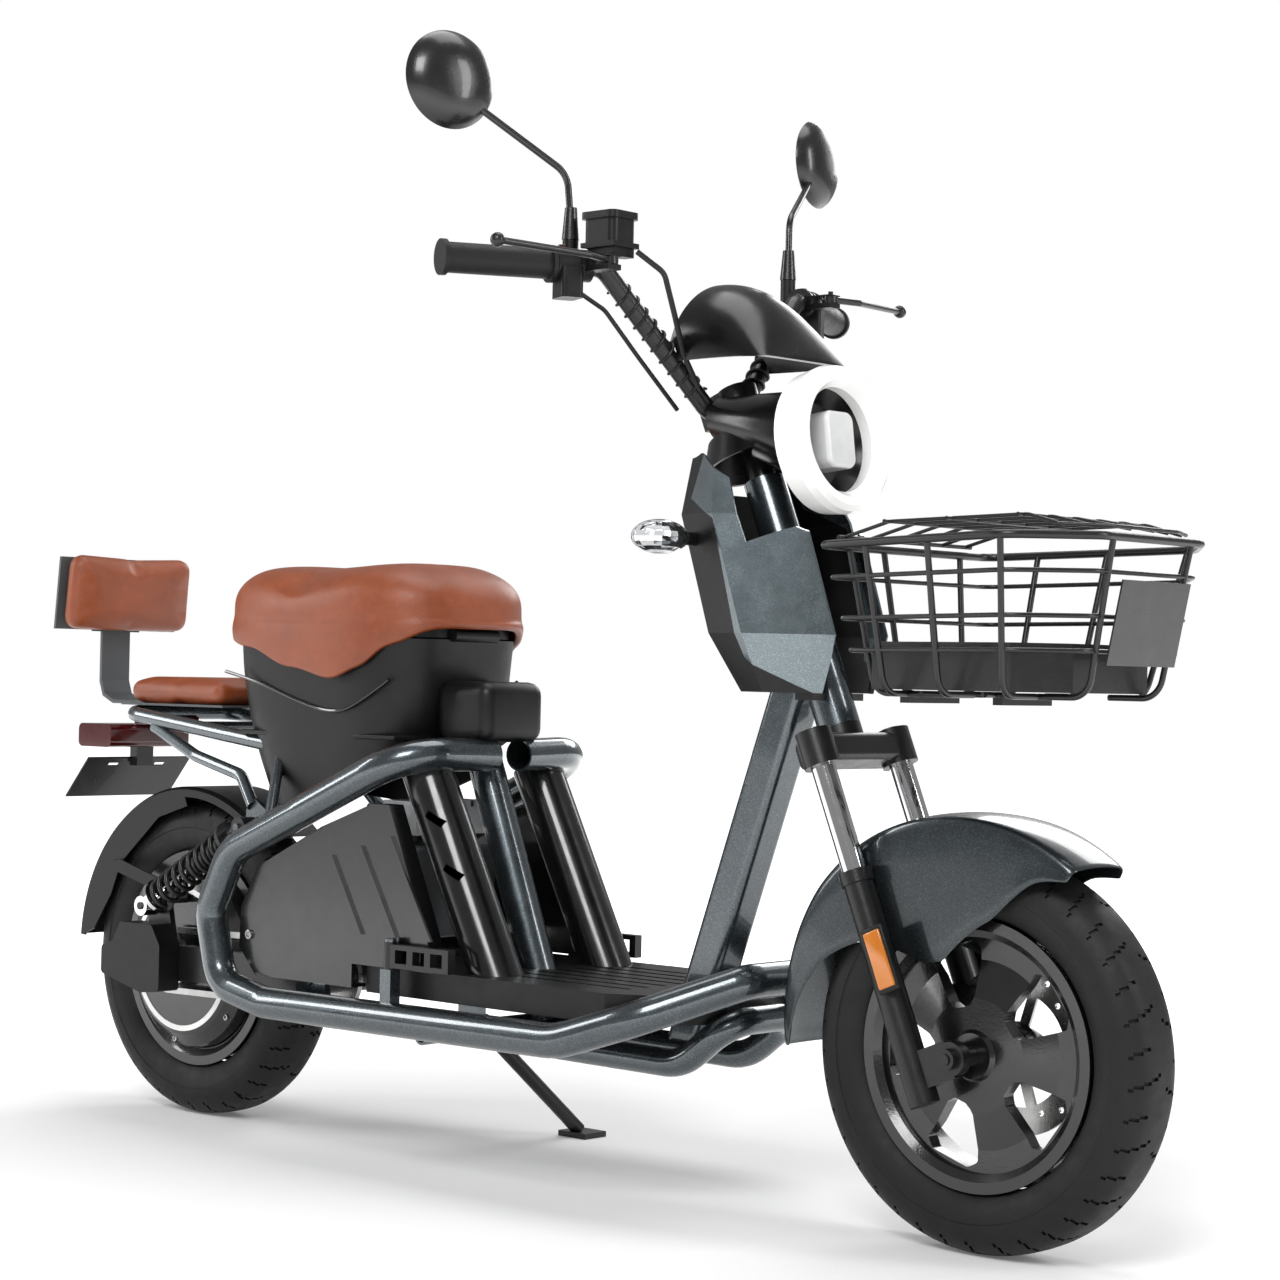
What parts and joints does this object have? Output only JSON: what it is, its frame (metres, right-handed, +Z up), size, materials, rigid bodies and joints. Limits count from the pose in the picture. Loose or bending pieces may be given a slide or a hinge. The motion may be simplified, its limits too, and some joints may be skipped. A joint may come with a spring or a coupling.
{
  "type": "moped scooter",
  "caption": "Step-through electric moped scooter with long ribbed step plate, tubular side rails, round lamp ring, wire front basket and leather seats.",
  "frame": {"origin": "on the ground, under the middle of the whole object's box", "axes": "+X forward, +Y to the rider's left, +Z up"},
  "size_m": [1.7216, 0.7482, 1.3064],
  "materials": {
    "frame_paint": "graphite metallic, satin clear coat",
    "black_steel": "satin black powder coat",
    "bright_steel": "fine turned",
    "chrome_parts": "polished",
    "cast_alloy": "dark grey satin",
    "alloy": "satin",
    "tyre_rubber": "moulded",
    "grip_rubber": "soft satin",
    "cable_skin": "spiral sleeve",
    "black_plastic": "fine grained",
    "gloss_black": "polished",
    "grey_plastic": "fine grained",
    "fairing_paint": "graphite metallic",
    "pale_plastic": "opal",
    "red_lens": "moulded lens",
    "clear_lens": "faceted",
    "tan_leather": "grained, stitched",
    "mirror_shell": "polished"
  },
  "bodies": {
    "chassis": {"left_frame_rail": "frame_paint", "right_frame_rail": "frame_paint", "seat_tube": "frame_paint", "centre_frame": "frame_paint", "rear_rack": "frame_paint", "floorboard": "black_plastic", "side_covers": "black_plastic", "battery_pack": "black_plastic", "motor_controller": "alloy", "seat_body": "black_plastic", "rear_seat_pad": "tan_leather", "backrest_frame": "grey_plastic", "backrest_pad": "tan_leather", "tail_light": "red_lens", "licence_plate": "black_plastic", "fairing_panels": "fairing_paint", "fairing_core": "black_plastic", "turn_signals": "clear_lens", "basket_frame": "black_steel", "basket_tray": "black_steel", "basket_plate": "alloy"},
    "seat": {"seat_cushion": "tan_leather", "seat_pan": "black_plastic"},
    "side_stand": {"side_stand": "black_steel"},
    "left_peg": {"left_footpeg": "black_steel"},
    "right_peg": {"right_footpeg": "black_steel"},
    "swingarm": {"swingarm": "frame_paint", "rear_axle": "bright_steel", "axle_covers": "black_plastic", "chain_drive": "black_steel", "rear_fender": "black_plastic"},
    "rear_wheel": {"rear_tyre": "tyre_rubber", "hub_motor": "cast_alloy", "motor_ring": "pale_plastic"},
    "shock_upper": {"shock_bodies": "black_steel", "shock_springs": "black_steel"},
    "shock_lower": {"shock_rods": "chrome_parts"},
    "steering": {"steering_stem": "black_steel", "fork_stanchions": "chrome_parts", "handlebar": "black_steel", "handlebar_controls": "black_plastic", "handlebar_cables": "cable_skin", "left_grip": "grip_rubber", "headlight_nacelle": "gloss_black", "headlight_ring": "pale_plastic", "headlight_lens": "pale_plastic"},
    "fork_lower": {"fork_sliders": "black_steel", "front_fender": "fairing_paint", "brake_caliper": "cast_alloy"},
    "front_wheel": {"front_tyre": "tyre_rubber", "front_rim": "cast_alloy", "brake_disc": "bright_steel"},
    "basket_lid": {"basket_lid": "black_steel"},
    "throttle": {"throttle_grip": "grip_rubber"},
    "left_lever": {"left_brake_lever": "black_steel"},
    "right_lever": {"right_brake_lever": "black_steel"},
    "left_mirror": {"left_mirror": "mirror_shell"},
    "right_mirror": {"right_mirror": "mirror_shell"},
    "horn_button": {"horn_button": "red_lens"},
    "start_button": {"start_button": "red_lens"}
  },
  "joints": [
    {"name": "seat_hinge", "type": "hinge", "parent": "chassis", "child": "seat", "pos_m": [-0.13825, 0, 0.646], "axis": [0, 1, 0], "range_deg": [0, 75]},
    {"name": "side_stand_pivot", "type": "hinge", "parent": "chassis", "child": "side_stand", "pos_m": [-0.20425, 0.092, 0.15], "axis": [0, 1, 0], "range_deg": [0, 90], "stiffness_Nm_per_rad": 2, "springref_deg": -45.84},
    {"name": "left_peg_hinge", "type": "hinge", "parent": "chassis", "child": "left_peg", "pos_m": [-0.10425, 0.163, 0.262], "axis": [0, 0, 1], "range_deg": [0, 85]},
    {"name": "right_peg_hinge", "type": "hinge", "parent": "chassis", "child": "right_peg", "pos_m": [-0.10425, -0.163, 0.262], "axis": [0, 0, -1], "range_deg": [0, 85]},
    {"name": "swingarm_pivot", "type": "hinge", "parent": "chassis", "child": "swingarm", "pos_m": [-0.29425, 0, 0.215], "axis": [0, 1, 0], "range_deg": [0, 8], "stiffness_Nm_per_rad": 1600, "springref_deg": -8.02, "deforming": ["shock_springs"]},
    {"name": "rear_wheel_spin", "type": "hinge", "parent": "swingarm", "child": "rear_wheel", "pos_m": [-0.62425, 0, 0.21], "axis": [0, 1, 0], "continuous": true},
    {"name": "shock_top_eye", "type": "hinge", "parent": "chassis", "child": "shock_upper", "pos_m": [-0.41925, 0, 0.398], "axis": [0, 1, 0], "range_deg": [0, 9.5]},
    {"name": "shock_lower_eye", "type": "hinge", "parent": "swingarm", "child": "shock_lower", "pos_m": [-0.61225, 0, 0.285], "axis": [0, 1, 0], "range_deg": [0, 1.5]},
    {"name": "steering_turn", "type": "hinge", "parent": "chassis", "child": "steering", "pos_m": [0.45025, 0, 0.52], "axis": [-0.3827, 0, 0.9239], "range_deg": [-28, 28]},
    {"name": "fork_travel", "type": "slide", "parent": "steering", "child": "fork_lower", "axis": [-0.3827, 0, 0.9239], "range_m": [0, 0.04], "stiffness_N_per_m": 9000, "springref_m": -0.05},
    {"name": "front_wheel_spin", "type": "hinge", "parent": "fork_lower", "child": "front_wheel", "pos_m": [0.65075, 0, 0.21], "axis": [0, 1, 0], "continuous": true},
    {"name": "basket_lid_hinge", "type": "hinge", "parent": "chassis", "child": "basket_lid", "pos_m": [0.52575, 0, 0.752], "axis": [0, -1, 0], "range_deg": [0, 90]},
    {"name": "throttle_twist", "type": "hinge", "parent": "steering", "child": "throttle", "pos_m": [0.22575, -0.172, 1.056], "axis": [-0.4085, -0.9126, -0.0159], "range_deg": [0, 60], "stiffness_Nm_per_rad": 0.3, "springref_deg": -17.19},
    {"name": "left_lever_pull", "type": "hinge", "parent": "steering", "child": "left_lever", "pos_m": [0.25975, 0.196, 1.058], "axis": [0, 0, 1], "range_deg": [0, 14], "stiffness_Nm_per_rad": 4, "springref_deg": -5.73},
    {"name": "right_lever_pull", "type": "hinge", "parent": "steering", "child": "right_lever", "pos_m": [0.25975, -0.196, 1.058], "axis": [0, 0, -1], "range_deg": [0, 14], "stiffness_Nm_per_rad": 4, "springref_deg": -5.73},
    {"name": "left_mirror_turn", "type": "hinge", "parent": "steering", "child": "left_mirror", "pos_m": [0.19575, 0.193, 1.086], "axis": [0, 0, 1], "range_deg": [-25, 25]},
    {"name": "right_mirror_turn", "type": "hinge", "parent": "steering", "child": "right_mirror", "pos_m": [0.19575, -0.193, 1.086], "axis": [0, 0, -1], "range_deg": [-25, 25]},
    {"name": "horn_press", "type": "slide", "parent": "steering", "child": "horn_button", "axis": [0, 0, -1], "range_m": [0, 0.003], "stiffness_N_per_m": 600, "springref_m": -0.002},
    {"name": "start_press", "type": "slide", "parent": "steering", "child": "start_button", "axis": [0, 0, -1], "range_m": [0, 0.003], "stiffness_N_per_m": 600, "springref_m": -0.002}
  ],
  "couplings": [
    {"joint": "shock_top_eye", "follows": "swingarm_pivot", "ratio": 1.161},
    {"joint": "shock_lower_eye", "follows": "swingarm_pivot", "ratio": 0.161}
  ]
}
